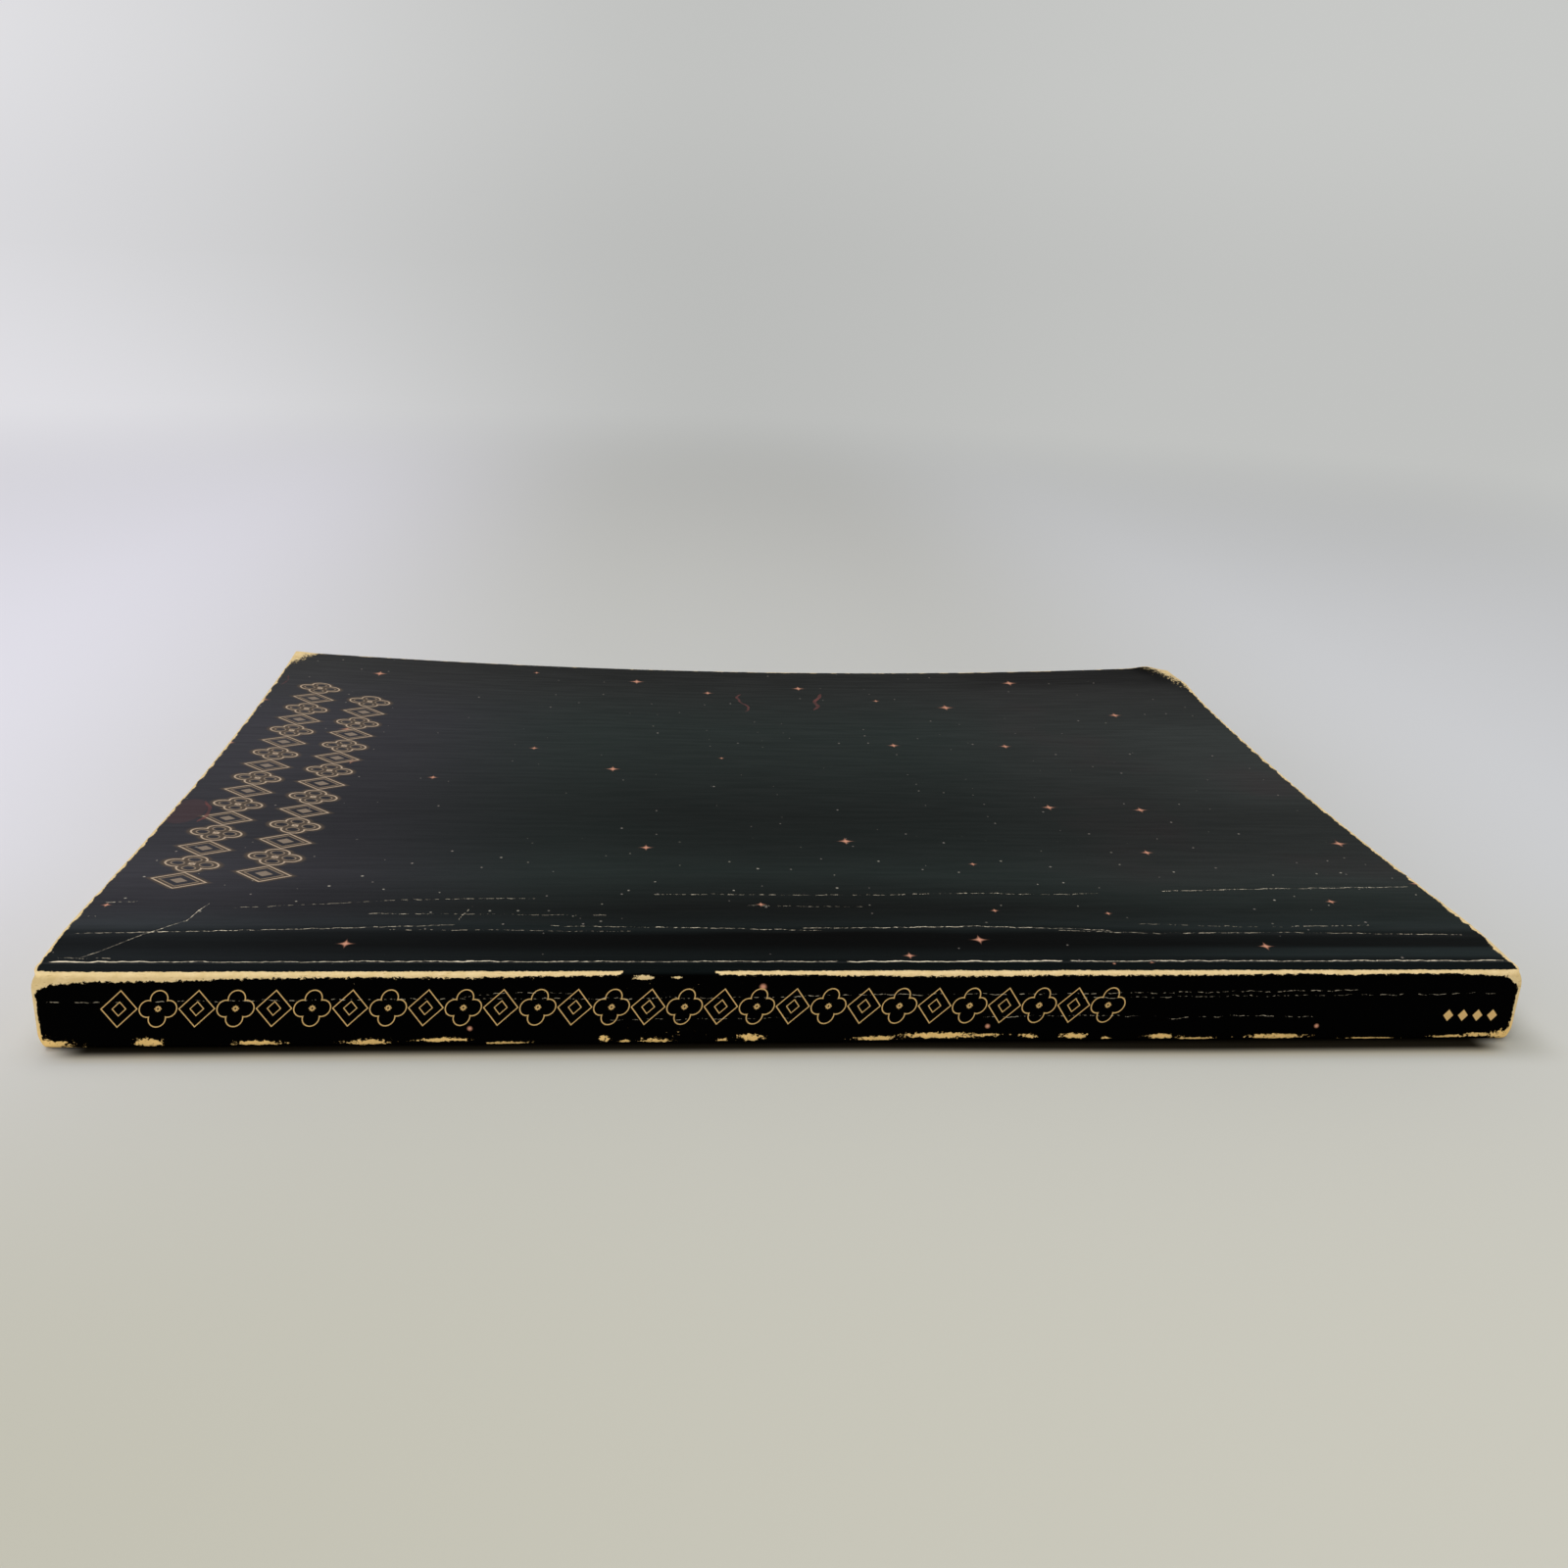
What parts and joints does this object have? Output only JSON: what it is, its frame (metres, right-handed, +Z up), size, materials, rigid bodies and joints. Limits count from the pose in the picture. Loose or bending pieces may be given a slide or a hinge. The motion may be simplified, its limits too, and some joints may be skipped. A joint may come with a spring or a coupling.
{
  "type": "paperback book",
  "caption": "Worn large-format paperback book lying closed on its back cover, with one folded card glued round the page block and covers that open at scored hinges.",
  "frame": {"origin": "middle of the closed book's plan, on the surface that its back cover lies on", "axes": "+X along the spine from head to tail, +Y from the spine to the fore edge, +Z up out of the front cover"},
  "size_m": [0.3048, 0.2286, 0.0221],
  "materials": {
    "cover_card": "semi-gloss black print on cream card, rubbed through along folds and edges",
    "pages": "matt, aged cream",
    "glue": "translucent hot-melt adhesive"
  },
  "bodies": {
    "bound_pages": {"page_block": "pages", "binding_glue": "glue", "spine_wrap": "cover_card"},
    "front_cover": {"front_cover": "cover_card"},
    "back_cover": {"back_cover": "cover_card"}
  },
  "joints": [
    {"name": "front_cover_hinge", "type": "hinge", "parent": "bound_pages", "child": "front_cover", "pos_m": [0, -0.1088, 0.0164], "axis": [1, 0, 0], "range_deg": [0, 180]},
    {"name": "back_cover_hinge", "type": "hinge", "parent": "bound_pages", "child": "back_cover", "pos_m": [0, -0.1088, -0.0001], "axis": [-1, 0, 0], "range_deg": [0, 180]}
  ]
}
